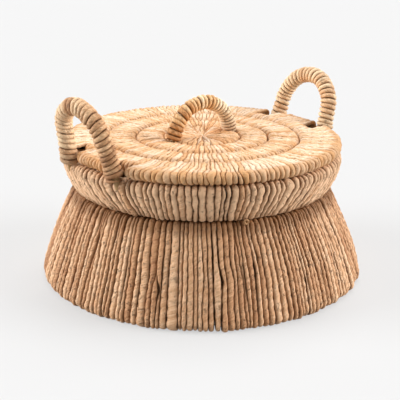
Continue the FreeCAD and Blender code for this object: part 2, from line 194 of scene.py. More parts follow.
@dataclass(frozen=True)
class RushFinish:
    """One batch of twisted rush: leaves rolled into a cord and dried, so matt, fibrous and uneven.

    Attributes:
        name: The material's name.
        tones: Colours from the darkest strands to the palest, as sRGB hex.
        warm: The colour of the painted shade where the cord dips into a groove, and on its turned
            sides.
        flank: The colour of the painted shade on the cord's flanks, where it lies against the next
            cord, and in its folds and nicks.
        shade: How strong the painted shade on the cord's flanks is, from 0 to 1.
        turned: How strong the painted shade is on the cord's sides, where it turns away, from 0 to
            1.
        crease: How strong the painted shade in the folds and nicks of the twisted leaf is, from 0 to
            1.
        relief: Depth of the folds and fibres, in metres.
    """

    name: str
    tones: tuple[str, ...]
    warm: str
    flank: str
    shade: float = 0.6
    turned: float = 0.4
    crease: float = 0.4
    relief: float = 0.7 * MM

    def make(self) -> bpy.types.Material:
        """Makes the leaf's diagonal folds, nicks, fibres and uneven colour, with painted shade in
        the grooves, folds, nicks and seams and on the turned sides.

        The cord's mesh carries a UV map, with the distance along the cord and the turn round it,
        and the values tone, one per cord, and warm, which is high in a groove and paints its shade
        there.

        Returns:
            The material.
        """
        material = bpy.data.materials.new(self.name)
        shader = Shader(material)
        uv = shader.add("SeparateXYZ", (shader.add("UVMap", uv_map="cord"),)).node
        along, round_cord = uv.outputs[0], uv.outputs[1]
        place = shader.add("TexCoord", output="Object")
        leaf_tone = shader.add("Attribute", output="Fac", attribute_name="tone")
        warm = shader.add("Attribute", output="Fac", attribute_name="warm")
        blotch = shader.add("TexNoise", {"Vector": place, "Scale": BLOTCHES, "Detail": 3.0})
        ripple = shader.add("TexNoise", {"Vector": place, "Scale": RIPPLES, "Detail": 2.0})
        speck = shader.add("TexNoise", {"Vector": place, "Scale": NICKS, "Detail": 1.0})
        flank, groove = linear(self.flank), linear(self.warm)
        smooth = {"interpolation_type": "SMOOTHSTEP"}

        # Folds wind round the cord, one a turn, and show in patches. Nicks lie anywhere. Both shape
        # the bump and get painted shade.
        pitches = shader.add("Math", (along, TWIST_PITCH), operation="DIVIDE")
        turns = shader.add("Math", (pitches, round_cord), operation="ADD")
        bent = shader.add("Math", (ripple, BEND, turns), operation="MULTIPLY_ADD")
        part = shader.add("Math", (bent,), operation="FRACT")
        crest = shader.add("Math", (part, 0.5), operation="SUBTRACT")
        crest = shader.add("Math", (crest,), operation="ABSOLUTE")
        fold = shader.add("MapRange", {"Value": crest, **FOLD_EDGE}, **smooth)
        patchy = shader.add("MapRange", {"Value": blotch, **PATCH_EDGE})
        nick = shader.add("MapRange", {"Value": speck, **NICK_EDGE})
        shown = shader.add("Math", (fold, patchy), operation="MULTIPLY")
        mark = shader.add("Math", (shown, nick), operation="MAXIMUM")

        # Fibres run with the folds.
        grid = ((along, FIBRES), (turns, FIBRES_ROUND), (leaf_tone, FIBRE_STEP))
        scaled = [shader.add("Math", pair, operation="MULTIPLY") for pair in grid]
        detail = {"Scale": 1.0, "Detail": 3.0, "Roughness": 0.6}
        fibre = shader.add("TexNoise", {"Vector": shader.add("CombineXYZ", scaled), **detail})

        # The leaf's colour: its cord's tone, changed by blotches and fibres.
        tone = leaf_tone
        for pattern, share in ((blotch, BLOTCH_TONE), (fibre, FIBRE_TONE)):
            change = shader.add("Math", (pattern, 0.5), operation="SUBTRACT")
            tone = shader.add("Math", (change, share, tone), operation="MULTIPLY_ADD")
        last = len(self.tones) - 1
        stops = [(index / last, colour) for index, colour in enumerate(self.tones)]
        colour = shader.add("ValToRGB", (tone,), stops=stops)

        # Painted shade in the seams: darkest where the cord's side meets its neighbour, and broken
        # along their length. A softer painted shade covers the sides where the cord turns away.
        cosine = shader.add("Math", (round_cord, TURN), operation="MULTIPLY")
        cosine = shader.add("Math", (cosine,), operation="COSINE")
        side = shader.add("Math", (cosine, 0.0), operation="GREATER_THAN")
        grid = ((along, SEAM_BREAKS), (leaf_tone, SEAM_STEP), (side, SIDE_STEP))
        scaled = [shader.add("Math", pair, operation="MULTIPLY") for pair in grid]
        detail = {"Scale": 1.0, "Detail": 2.0}
        seam = shader.add("TexNoise", {"Vector": shader.add("CombineXYZ", scaled), **detail})
        depth = shader.add("MapRange", {"Value": seam, **BREAK_EDGE})
        away = shader.add("Math", (cosine,), operation="ABSOLUTE")
        frayed = shader.add("Math", (fibre, FRAY, away), operation="MULTIPLY_ADD")
        seam_shade = shader.add("MapRange", {"Value": frayed, **SEAM_EDGE}, **smooth)
        seam_shade = shader.add("Math", (seam_shade, depth), operation="MULTIPLY")
        turned = shader.add("MapRange", {"Value": away, **TURNED_SHADE_EDGE}, **smooth)

        # Each layer of painted shade covers the one before: in the grooves, in the folds and nicks,
        # on the turned sides, in the seams.
        for share, strength, tint in (
            (warm, 1.0, groove),
            (mark, self.crease, flank),
            (turned, self.turned, groove),
            (seam_shade, self.shade, flank),
        ):
            cover = shader.add("Math", (share, strength), operation="MULTIPLY")
            colour = shader.add("Mix", {0: cover, 6: colour, 7: tint}, 2, data_type="RGBA")

        lumps = shader.add("Math", (ripple, LUMP, fibre), operation="MULTIPLY_ADD")
        height = shader.add("Math", (mark, FOLD_HEIGHT, lumps), operation="MULTIPLY_ADD")
        relief = {"Height": height, "Strength": 0.7, "Distance": self.relief}
        matt = {"Roughness": 0.62, "Specular IOR Level": 0.35}
        bump = shader.add("Bump", relief)
        surface = shader.add("BsdfPrincipled", {"Base Color": colour, "Normal": bump, **matt})
        shader.add("OutputMaterial", {"Surface": surface})
        return material


@dataclass(frozen=True)
class GrainFinish:
    """A plain finish with fine grain, for the pieces inside the cords.

    Attributes:
        name: The material's name.
        scale: Grain per metre, along X, Y and Z.
        detail: Layers of finer grain.
        colours: The grain's two colours, as sRGB hex.
        metallic: 0 for wood, near 1 for metal.
        roughness: Its roughness, and how much the grain adds to it.
        strength: Strength of the relief.
        relief: Depth of the relief, in metres.
    """

    name: str
    scale: tuple[float, float, float]
    detail: float
    colours: tuple[str, str]
    metallic: float
    roughness: tuple[float, float]
    strength: float
    relief: float

    def make(self) -> bpy.types.Material:
        """Makes the material from one noise that tints, roughens and raises the surface.

        Returns:
            The material.
        """
        material = bpy.data.materials.new(self.name)
        shader = Shader(material)
        place = shader.add("TexCoord", output="Object")
        stretched = shader.add("Mapping", {"Vector": place, "Scale": self.scale})
        grain = shader.add("TexNoise", {"Vector": stretched, "Scale": 1.0, "Detail": self.detail})
        colour = shader.add("ValToRGB", (grain,), stops=list(zip((0.3, 0.7), self.colours)))
        plain, added = self.roughness
        rough = plain
        if added:
            rough = shader.add("Math", (grain, added, plain), operation="MULTIPLY_ADD")
        relief = {"Height": grain, "Strength": self.strength, "Distance": self.relief}
        looks = {"Base Color": colour, "Metallic": self.metallic, "Roughness": rough}
        surface = shader.add("BsdfPrincipled", {**looks, "Normal": shader.add("Bump", relief)})
        shader.add("OutputMaterial", {"Surface": surface})
        return material


# Rush from the body: tan, with pink and brown leaves among it.
BODY_RUSH = RushFinish(
    name="twisted_rush_tan",
    tones=("A66F48", "C59065", "DEAC80", "F4C9A0"),
    warm="85582F",
    flank="502C16",
    shade=0.7,
    turned=0.45,
    crease=0.5,
    relief=1.1 * MM,
)
# Rush chosen for the lid: pale straw, with painted amber shade in the grooves.
LID_RUSH = RushFinish(
    name="twisted_rush_straw",
    tones=("D89F6C", "E7B98A", "F1CFAA", "F7DFC4"),
    warm="C8925A",
    flank="97602F",
    crease=0.35,
)
# Rush wound tight on the handles: straw and tan strands side by side.
HANDLE_RUSH = RushFinish(
    name="twisted_rush_handle",
    tones=("A97B54", "CC9D71", "E3B98E", "F1D2AA"),
    warm="9A6A42",
    flank="5E3A20",
    shade=0.75,
)
# Rush for the lid's handle, from the lid's batch, with browner leaves among it.
LID_HANDLE_RUSH = RushFinish(
    name="twisted_rush_lid_handle",
    tones=("C48B55", "E2B078", "F2CC9B", "FAE3BF"),
    warm="9A622E",
    flank="56300F",
    shade=0.8,
    turned=0.55,
)
# Thin two-ply twine of the same rush, used to lace the bands.
TWINE = RushFinish(
    name="rush_twine",
    tones=("B08458", "C29468", "D0A274", "DBB080"),
    warm="A8743F",
    flank="6B4526",
    relief=0.2 * MM,
)
# Plain drawn steel wire, dulled and slightly brown, for the hidden hoops and struts.
STEEL_WIRE = GrainFinish(
    name="drawn_steel_wire",
    scale=(180.0, 180.0, 180.0),
    detail=4.0,
    colours=("5A4A3C", "8E8981"),
    metallic=0.9,
    roughness=(0.35, 0.3),
    strength=0.3,
    relief=0.05 * MM,
)
# Cane bent under steam, with fine grain along it, for the cores of the handles.
BENT_CANE = GrainFinish(
    name="bent_cane",
    scale=(4500.0, 4500.0, 450.0),
    detail=3.0,
    colours=("8C6A44", "B8935F"),
    metallic=0.0,
    roughness=(0.6, 0.0),
    strength=0.4,
    relief=0.1 * MM,
)
SLOT_FINISHES = {
    Slot.RUSH: BODY_RUSH,
    Slot.LID: LID_RUSH,
    Slot.HANDLE: HANDLE_RUSH,
    Slot.LACING: TWINE,
    Slot.CANE: BENT_CANE,
    Slot.WIRE: STEEL_WIRE,
}


# Cords as meshes


@dataclass(frozen=True)
class Twist:
    """The swell of a twisted leaf along its cord: a ridge that winds round it."""

    pitch: float = TWIST_PITCH
    depth: float = 0.12
    squareness: float = 0.95
    sides: int = 10
    most: float = 1.04


@dataclass(frozen=True)
class Strands:
    """Many cords with the same number of rings each.

    Attributes:
        centre: Centre line of each cord, as cord, ring, xyz.
        outward: Unit vector away from what the cord is wound on, as cord, ring, xyz.
        sideways: Unit vector across the cord, as cord, ring, xyz.
        half_width: Half the cord's width along sideways, as cord, ring.
        half_height: Half the cord's thickness along outward, as cord, ring.
        tone: Lightness of the leaf, from 0 to 1, as cord, ring.
        warm: How strong the painted shade of a groove is on the cord, as cord, ring.
        closed: Whether the last ring joins the first.
    """

    centre: np.ndarray
    outward: np.ndarray
    sideways: np.ndarray
    half_width: np.ndarray
    half_height: np.ndarray
    tone: np.ndarray
    warm: np.ndarray
    closed: bool

    @classmethod
    def one(cls, centre: np.ndarray, outward: np.ndarray, *along: np.ndarray) -> Strands:
        """Makes a single open cord, whose sideways is its direction crossed with outward.

        Args:
            centre: Its centre line, as ring, xyz.
            outward: Unit vectors, as ring, xyz.
            *along: Its half width, half height, tone and painted groove shade, as ring.

        Returns:
            The cord.
        """
        tangent = np.gradient(centre, axis=0)
        tangent /= np.linalg.norm(tangent, axis=1, keepdims=True)
        arrays = (centre, outward, np.cross(tangent, outward), *along)
        return cls(*(array[None] for array in arrays), closed=False)

    def part(self, which: slice) -> Strands:
        """Takes some of the cords.

        Args:
            which: Which to take.

        Returns:
            Those cords.
        """
        names = [field.name for field in fields(self) if field.name != "closed"]
        return replace(self, **{name: getattr(self, name)[which] for name in names})

    def distances(self) -> np.ndarray:
        """Measures each cord from its first ring, as the sum of its steps from ring to ring.

        Returns:
            Distance at each ring and, at the end, round to the first, as cord, ring + 1.
        """
        following = np.roll(self.centre, -1, axis=1)
        steps = np.linalg.norm(following - self.centre, axis=2)
        return np.concatenate([np.zeros((len(steps), 1)), np.cumsum(steps, axis=1)], axis=1)

    def points(self, twist: Twist, along: np.ndarray, rng: np.random.Generator) -> np.ndarray:
        """Places each ring's vertices on a rounded section, swollen where the ridge passes.

        Args:
            twist: Shape of the twisted section.
            along: The rings' distances.
            rng: Source of each cord's phase.

        Returns:
            Vertices, as cord, ring, side, xyz.
        """
        length = along[:, -1:] if self.closed else along[:, -2:-1]
        pitch = length / np.maximum(1, np.round(length / twist.pitch))
        angle = np.arange(twist.sides) * TURN / twist.sides
        phase = rng.uniform(0, TURN, (len(along), 1, 1))
        winding = angle + TURN * along[:, :-1, None] / pitch[:, :, None] + phase
        swell = 1 + twist.depth * (np.cos(winding) + 0.5 * np.cos(2 * winding + phase))
        across = np.sign(np.cos(angle)) * np.abs(np.cos(angle)) ** twist.squareness
        above = np.sign(np.sin(angle)) * np.abs(np.sin(angle)) ** twist.squareness
        width = self.half_width[:, :, None] * across * np.minimum(swell, twist.most)
        height = self.half_height[:, :, None] * above * swell
        points = (
            self.centre[:, :, None, :]
            + self.sideways[:, :, None, :] * width[..., None]
            + self.outward[:, :, None, :] * height[..., None]
        )
        points[..., 2] = np.maximum(points[..., 2], TABLE_GAP)
        return points

    def faces(self, sides: int, along: np.ndarray) -> tuple[np.ndarray, np.ndarray]:
        """Joins each ring to the next with quads, and closes the ends of open cords.

        Args:
            sides: Vertices in a ring.
            along: The rings' distances.

        Returns:
            The quads' vertices, and their corners' distance along and turn round the cord.
        """
        cords, rings, _ = self.centre.shape
        spans = rings if self.closed else rings - 1
        ring, side = np.arange(spans), np.arange(sides)
        first = np.arange(cords)[:, None, None] * rings * sides
        here, after = ring[None, :, None] * sides, ((ring + 1) % rings)[None, :, None] * sides
        low, high = first + here, first + after
        right = (side + 1) % sides
        quads = np.stack([low + side, high + side, high + right, low + right], axis=-1)
        uv = np.empty(quads.shape + (2,))
        uv[..., [0, 3], 0] = along[:, :spans, None, None]
        uv[..., [1, 2], 0] = along[:, 1 : spans + 1, None, None]
        uv[..., [0, 1], 1] = (side / sides)[:, None]
        uv[..., [2, 3], 1] = (side / sides + 1 / sides)[:, None]
        quads, corners = quads.reshape(-1, 4), uv.reshape(-1, 2)
        if not self.closed:
            rung = np.arange(sides // 2 - 1)
            cap = np.stack([rung, rung + 1, sides - 2 - rung, sides - 1 - rung], axis=-1)[None]
            start_caps = (first[:, 0] + np.zeros_like(cap)) + cap
            end_caps = start_caps[..., ::-1] + (rings - 1) * sides
            quads = np.concatenate([quads, start_caps.reshape(-1, 4), end_caps.reshape(-1, 4)])
            corners = np.concatenate([corners, np.zeros((8 * cords * len(rung), 2))])
        return quads, corners

    def mesh(self, name: str, twist: Twist, rng: np.random.Generator) -> bpy.types.Mesh:
        """Skins every cord with a tube whose ridges wind round it.

        Args:
            name: The mesh's name.
            twist: Shape of the twisted section.
            rng: Source of each cord's phase.

        Returns:
            The mesh, with its cord UV map and its tone and warm attributes, the latter for painted
            shade.
        """
        along = self.distances()
        points = self.points(twist, along, rng)
        quads, corners = self.faces(twist.sides, along)
        mesh = quad_mesh(name, points.reshape(-1, 3), quads)
        layer = mesh.uv_layers.new(name="cord")
        layer.data.foreach_set("uv", corners.astype(np.float32).ravel())
        for value, array in (("tone", self.tone), ("warm", self.warm)):
            attribute = mesh.attributes.new(value, "FLOAT", "POINT")
            per_point = np.broadcast_to(array[:, :, None], points.shape[:3])
            attribute.data.foreach_set("value", per_point.astype(np.float32).ravel())
        return mesh


def quad_mesh(name: str, points: np.ndarray, quads: np.ndarray) -> bpy.types.Mesh:
    """Makes a smooth mesh of four-sided faces.

    Args:
        name: The mesh's name.
        points: Its vertices, one row each.
        quads: Its faces, four vertex numbers each.

    Returns:
        The mesh.
    """
    mesh = bpy.data.meshes.new(name)
    mesh.vertices.add(len(points))
    mesh.vertices.foreach_set("co", points.astype(np.float32).ravel())
    mesh.loops.add(quads.size)
    mesh.loops.foreach_set("vertex_index", quads.astype(np.int32).ravel())
    mesh.polygons.add(len(quads))
    mesh.polygons.foreach_set("loop_start", np.arange(0, quads.size, 4, dtype=np.int32))
    mesh.polygons.foreach_set("use_smooth", np.ones(len(quads), dtype=bool))
    mesh.update(calc_edges=True)
    return mesh


class Workshop:
    """Holds the materials and the random numbers, and makes cords into pieces of the object."""

    def __init__(self, frame: dict, seed: int = 11) -> None:
        """Gives the wires, canes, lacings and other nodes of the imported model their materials.

        Args:
            frame: The loaded model.
            seed: Start of the random numbers.
        """
        self.rng = np.random.default_rng(seed)
        self.made: dict[RushFinish | GrainFinish, bpy.types.Material] = {}
        rows = frame["record"]["subparts"]
        slots = {row["node"]: Slot(row["material_slot"]) for row in rows}
        for name, node in frame["nodes"].items():
            node.data.materials.clear()
            node.data.materials.append(self.material(SLOT_FINISHES[slots[name]]))

    def material(self, finish: RushFinish | GrainFinish) -> bpy.types.Material:
        """Makes a finish's material once, and gives the same one each time.

        Args:
            finish: The finish.

        Returns:
            The material.
        """
        if finish not in self.made:
            self.made[finish] = finish.make()
        return self.made[finish]

    def place(
        self,
        name: str,
        strands: Strands,
        body: Body,
        slot: Slot,
        node: str | None,
        twist: Twist = Twist(),
        finish: RushFinish | None = None,
    ) -> None:
        """Skins cords, gives them their material and adds them as a piece of the object.

        Args:
            name: The piece's name.
            strands: The cords.
            body: The body that they ride on.
            slot: The record's material slot.
            node: The node that they stand for, if any.
            twist: Shape of the cord's section.
            finish: Their batch of cord, where it isn't the slot's usual one.
        """
        mesh = strands.mesh(name, twist, self.rng)
        mesh.materials.append(self.material(finish or SLOT_FINISHES[slot]))
        piece = bpy.data.objects.new(name, mesh)
        bpy.context.scene.collection.objects.link(piece)
        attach(piece, body.value)
        if node:
            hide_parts(node)
        LOG.info("%s: %d faces", name, len(mesh.polygons))


# Wound bands

# A cord overlaps its neighbour a little, and is never thinner than this.
OVERLAP = 0.52
LEAST_HALF_WIDTH = 0.35 * MM
# A narrow cord is at most this much thicker than it is wide.
THICKEST = 1.3
# How far the painted shade of the groove at a hoop reaches into the band, as a share of the band.
GROOVE_SHADE_REACH = 0.09
# Where a cord that runs out ends, over what length it narrows, and what is left of it, as shares.
RUN_OUT_ENDS, RUN_OUT_LENGTH, LEAST_SHARE = (0.55, 0.95), 0.25, 0.06
# Where a slit's middle lies and how far it reaches, as shares of the band, and how wide it is.
SLIT_MIDDLES, SLIT_REACHES, SLIT_WIDTHS = (0.25, 0.7), (0.06, 0.16), (0.8 * MM, 2.2 * MM)
# How open seams differ, as a gamma distribution whose mean is 1, and how much each one ripples.
SEAM_OPENINGS, SEAM_RIPPLE = (0.8, 1.25), 0.8
# Each seam strays in these waves round the loop, but less in the last few before a notch.
STRAY_WAVES, STRAY_SIZE, EASED_SEAMS = (1, 2, 3, 5), 0.5, 3
# A cord stands out by this share of proud all along, and by as much again in waves.
LIFT_SHARE = 0.6
# Neighbouring cords bend together in this many waves, each with whole numbers of crests in these
# ranges round the basket and round the loop.
SWAY_WAVES, CRESTS_AROUND, CRESTS_ALONG = 14, (2, 30), (1, 3)


@dataclass(frozen=True)
class Hoop:
    """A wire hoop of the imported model, as its wire's centre line."""

    radius: float
    height: float
    wire: float

    @classmethod
    def of(cls, node: str) -> Hoop:
        """Reads a hoop's size from its node.

        Args:
            node: The hoop's name.

        Returns:
            The hoop.
        """
        low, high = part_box(node)
        wire = (high[2] - low[2]) / 2
        return cls((high[0] - low[0]) / 2 - wire, (high[2] + low[2]) / 2, wire)


@dataclass(frozen=True)
class Loop:
    """The closed line that each cord of a band follows in the plane through the basket's axis.

    Attributes:
        radius: Distance from the axis, as ring.
        height: Height, as ring.
        normal: Unit vector away from the hoops, as ring, radius and height.
        share: 0 at the first hoop, 1 at the second, as ring.
        turn: 0 to 1 round the loop, as ring.
    """

    radius: np.ndarray
    height: np.ndarray
    normal: np.ndarray
    share: np.ndarray
    turn: np.ndarray

    def wave(self, count: int, rng: np.random.Generator) -> np.ndarray:
        """Makes a sine of one to three waves round the loop, with its own phase for each cord.

        Args:
            count: Number of cords.
            rng: Source of the waves.

        Returns:
            Values from -1 to 1, as cord, ring.
        """
        waves = rng.integers(1, 4, (count, 1))
        return np.sin(TURN * waves * self.turn + rng.uniform(0, TURN, (count, 1)))


@dataclass(frozen=True)
class Weave:
    """How the cords of one band lie.

    Attributes:
        count: Number of cords round the full circle.
        cord: The cord's thickness.
        unevenness: How much the cords differ in width, as a share.
        sway: How far neighbouring cords bend together, in metres.
        wander: How far each seam between two cords strays by itself, in metres.
        gap: Open seam between cords, at the band's first and second hoop, in metres.
        slant: How far the cords lean along the band, on both sides of the front, in metres.
        proud: How far single cords stand out or sink in, in metres.
        bulge: How far the band's middle stands out from a straight wall, in metres.
        squareness: Shape of the fold over a hoop: 1 is round and less is squarer.
        spacing: Distance between rings, on the first side, over a hoop and on the second side.
        warm: How strong the painted shade is in the groove at the first and the second hoop.
        wedges: Share of cords that run out before they reach the second hoop.
        paleness: How much paler the cords are than their batch, as a share of its range.
        slits: Share of cords that leave a slit beside them.
        tones: How the cords' tones are spread, as a beta distribution's two values.
    """

    count: int
    cord: float
    unevenness: float = 0.16
    sway: float = 0.4 * MM
    wander: float = 0.4 * MM
    gap: tuple[float, float] = (0.1 * MM, 0.1 * MM)
    slant: float = 0.0
    proud: float = 0.35 * MM
    bulge: float = 0.0
    squareness: float = 1.0
    spacing: tuple[float, float, float] = (1.7 * MM, 1.7 * MM, 3.4 * MM)
    warm: tuple[float, float] = (0.0, 0.0)
    wedges: float = 0.0
    paleness: float = 0.0
    slits: float = 0.0
    tones: tuple[float, float] = (2.6, 2.0)

    def loop(self, first: tuple[float, float], second: tuple[float, float], offset: float) -> Loop:
        """Lays a closed line round two hoops, at an offset from the line between them.

        The line goes out along the outer side, round the second hoop in half a turn, back along
        the inner side and round the first hoop. A bulge is a parabola across the band.

        Args:
            first: Radius and height of the first hoop.
            second: The same for the second hoop.
            offset: From the hoops' middle line to the cord's centre line.

        Returns:
            The loop.
        """
        start = np.array(first)
        span = np.array(second) - start
        reach = float(np.linalg.norm(span))
        ahead = span / reach
        aside = np.array([ahead[1], -ahead[0]])
        near, over, far = self.spacing
        out_rings = max(4, round(reach / near))
        fold_rings = max(5, round(math.pi * offset / over))
        back_rings = max(4, round(reach / far))

        fold = (np.arange(fold_rings) / fold_rings - 0.5) * math.pi
        fold_ahead = np.abs(np.cos(fold)) ** self.squareness
        fold_aside = np.sign(np.sin(fold)) * np.abs(np.sin(fold)) ** self.squareness
        up = np.arange(out_rings) / out_rings
        down = 1 - np.arange(back_rings) / back_rings
        share = np.concatenate([up, np.ones(fold_rings), down, np.zeros(fold_rings)])
        out_ahead = [np.zeros(out_rings), fold_ahead, np.zeros(back_rings), -fold_ahead]
        out_aside = [np.ones(out_rings), -fold_aside, -np.ones(back_rings), fold_aside]
        bow = 4 * self.bulge * share * (1 - share) * (1.0 if aside[0] >= 0 else -1.0)
        push = np.concatenate(out_aside) * offset + bow
        line = start + np.outer(share, span) + np.outer(push, aside)
        line = line + np.outer(np.concatenate(out_ahead) * offset, ahead)

        steps = np.roll(line, -1, axis=0) - np.roll(line, 1, axis=0)
        tangent = steps / np.linalg.norm(steps, axis=1, keepdims=True)
        normal = np.stack([tangent[:, 1], -tangent[:, 0]], axis=-1)
        travelled = np.cumsum(np.linalg.norm(np.roll(line, -1, axis=0) - line, axis=1))
        turn = np.concatenate([[0.0], travelled[:-1]]) / travelled[-1]
        return Loop(line[:, 0], line[:, 1], normal, share, turn)

    def run_out(self, count: int, loop: Loop, rng: np.random.Generator) -> np.ndarray:
        """Narrows some cords to nothing part of the way to the second hoop.

        Args:
            count: Number of cords.
            loop: The line that the cords follow.
            rng: Source of which cords run out, and where.

        Returns:
            Share of its width that each cord has, as cord, ring. Neighbours take what it loses.
        """
        ends = rng.uniform(*RUN_OUT_ENDS, (count, 1))
        left = np.clip((ends - loop.share) / RUN_OUT_LENGTH, 0, 1)
        narrowed = LEAST_SHARE + (1 - LEAST_SHARE) * left * left * (3 - 2 * left)
        chosen = rng.random((count, 1)) < self.wedges
        kept = np.where(chosen, narrowed, 1.0)
        lost = 1 - kept
        return kept + (np.roll(lost, 1, axis=0) + np.roll(lost, -1, axis=0)) / 2

    def seams(self, count: int, loop: Loop, rng: np.random.Generator, full: bool) -> np.ndarray:
        """Places the seams between cords: uneven widths added up, then moved by smooth noise.

        Args:
            count: Number of cords.
            loop: The line that the cords follow.
            rng: Source of the unevenness.
            full: Whether the cords go all the way round, so that the last seam is the first.

        Returns:
            Azimuths, or else shares of the stretch from 0 to 1, as count + 1, ring.
        """
        widths = np.exp(rng.normal(0, self.unevenness, (count, 1))) * self.run_out(count, loop, rng)
        sums = np.concatenate([np.zeros((1, widths.shape[1])), np.cumsum(widths, axis=0)])
        base = (TURN if full else 1.0) * sums / sums[-1:]
        column = base.mean(axis=1, keepdims=True)
        stray = np.zeros((count + 1, len(loop.turn)))
        for waves in STRAY_WAVES:
            phase = rng.uniform(0, TURN, (count + 1, 1))
            size = rng.normal(0, STRAY_SIZE, (count + 1, 1))
            stray += size * np.sin(TURN * waves * loop.turn + phase)
        shift = self.sway * sway(rng, column, loop.turn) + self.wander * stray
        if full:
            shift[-1] = shift[0]
        else:
            ease = np.minimum(np.arange(count + 1), np.arange(count, -1, -1))
            shift = shift * np.minimum(1, ease / EASED_SEAMS)[:, None]
        aside = np.sin(column - FRONT)
        lean = self.slant * aside * np.abs(aside) * (loop.share - 0.5)
        return base + (shift + lean) / float(loop.radius.mean())

    def open_slits(self, count: int, loop: Loop, rng: np.random.Generator) -> np.ndarray:
        """Opens short slits beside some cords, each a bell curve along the band.

        Args:
            count: Number of cords.
            loop: The line that the cords follow.
            rng: Source of where the slits are.

        Returns:
            Width of the slit beside each cord, as cord, ring.
        """
        middle = rng.uniform(*SLIT_MIDDLES, (count, 1))
        reach = rng.uniform(*SLIT_REACHES, (count, 1))
        width = rng.uniform(*SLIT_WIDTHS, (count, 1)) * (rng.random((count, 1)) < self.slits)
        return width * np.exp(-(((loop.share - middle) / reach) ** 2))

    def strands(self, loop: Loop, edges: np.ndarray, rng: np.random.Generator) -> Strands:
        """Lays one cord between each pair of seams: the loop, turned to the cord's azimuth.

        Args:
            loop: The line that the cords follow.
            edges: The seams' azimuths, as cord + 1, ring.
            rng: Source of tone and height.

        Returns:
            The cords.
        """
        count, share = len(edges) - 1, loop.share
        lift = rng.normal(0, self.proud, (count, 1)) * LIFT_SHARE
        lift = lift + self.proud * LIFT_SHARE * loop.wave(count, rng)
        radius = loop.radius + loop.normal[:, 0] * lift
        height = loop.height + loop.normal[:, 1] * lift
        azimuth = (edges[1:] + edges[:-1]) / 2
        cosine, sine = np.cos(azimuth), np.sin(azimuth)
        flat = np.broadcast_to(loop.normal[:, :1].T, sine.shape)
        level = np.zeros(sine.shape)
        centre = np.stack([radius * cosine, radius * sine, height], axis=-1)
        outward = np.stack([flat * cosine, flat * sine, level + loop.normal[:, 1]], axis=-1)
        sideways = np.stack([-sine, cosine, level], axis=-1)
        open_seam = self.gap[0] * (1 - share) + self.gap[1] * share
        ripple = loop.wave(count, rng)
        open_seam = open_seam * rng.gamma(*SEAM_OPENINGS, (count, 1)) * (1 + SEAM_RIPPLE * ripple)
        slit = self.open_slits(count, loop, rng)
        half_width = (edges[1:] - edges[:-1]) * radius * OVERLAP - (open_seam + slit) / 2
        half_width = np.maximum(half_width, LEAST_HALF_WIDTH)
        # Painted shade in the grooves at the band's two hoops.
        first, second = self.warm
        warm = first * np.exp(-((share / GROOVE_SHADE_REACH) ** 2))
        warm = warm + second * np.exp(-(((1 - share) / GROOVE_SHADE_REACH) ** 2))
        return Strands(
            centre=centre + sideways * slit[..., None] / 2,
            outward=outward,
            sideways=sideways,
            half_width=half_width,
            half_height=np.minimum(self.cord / 2, half_width * THICKEST),
            tone=rng.beta(*self.tones, (count, 1)) + self.paleness + level,
            warm=warm + level,
            closed=True,
        )

    def wind(self, first: Hoop, second: Hoop, rng: np.random.Generator) -> Strands:
        """Winds one full band over two hoops.

        Args:
            first: The lower or inner hoop.
            second: The upper or outer hoop.
            rng: Source of the unevenness.

        Returns:
            The cords.
        """
        ends = (first.radius, first.height), (second.radius, second.height)
        loop = self.loop(*ends, first.wire + self.cord / 2)
        return self.strands(loop, self.seams(self.count, loop, rng, True), rng)


def sway(rng: np.random.Generator, azimuth: np.ndarray, turn: np.ndarray) -> np.ndarray:
    """Adds up sines that join up round the circle and round the cord's loop, as smooth noise.

    Args:
        rng: Source of the noise.
        azimuth: Angle of each seam, as seam, 1.
        turn: Place on the loop, as ring.

    Returns:
        Values of about -1 to 1, as seam, ring.
    """
    total = np.zeros(np.broadcast_shapes(azimuth.shape, turn.shape))
    for _ in range(SWAY_WAVES):
        around, along = rng.integers(*CRESTS_AROUND), rng.integers(*CRESTS_ALONG)
        phase, size = rng.uniform(0, TURN), rng.normal()
        total = total + size * np.sin(around * azimuth + TURN * along * turn + phase)
    return total / math.sqrt(SWAY_WAVES)


# The lid's notched rim


@dataclass(frozen=True)
class RimStretch:
    """A stretch of the lid's rim between two sides of notches.

    Attributes:
        start: Azimuth that the first side is measured from.
        start_offset: Distance of the first side from that azimuth's line.
        end: Azimuth that the last side is measured from.
        end_offset: Distance of the last side from that azimuth's line.
        reach: Radius of the stretch's outer edge.
    """

    start: float
    start_offset: float
    end: float
    end_offset: float
    reach: float


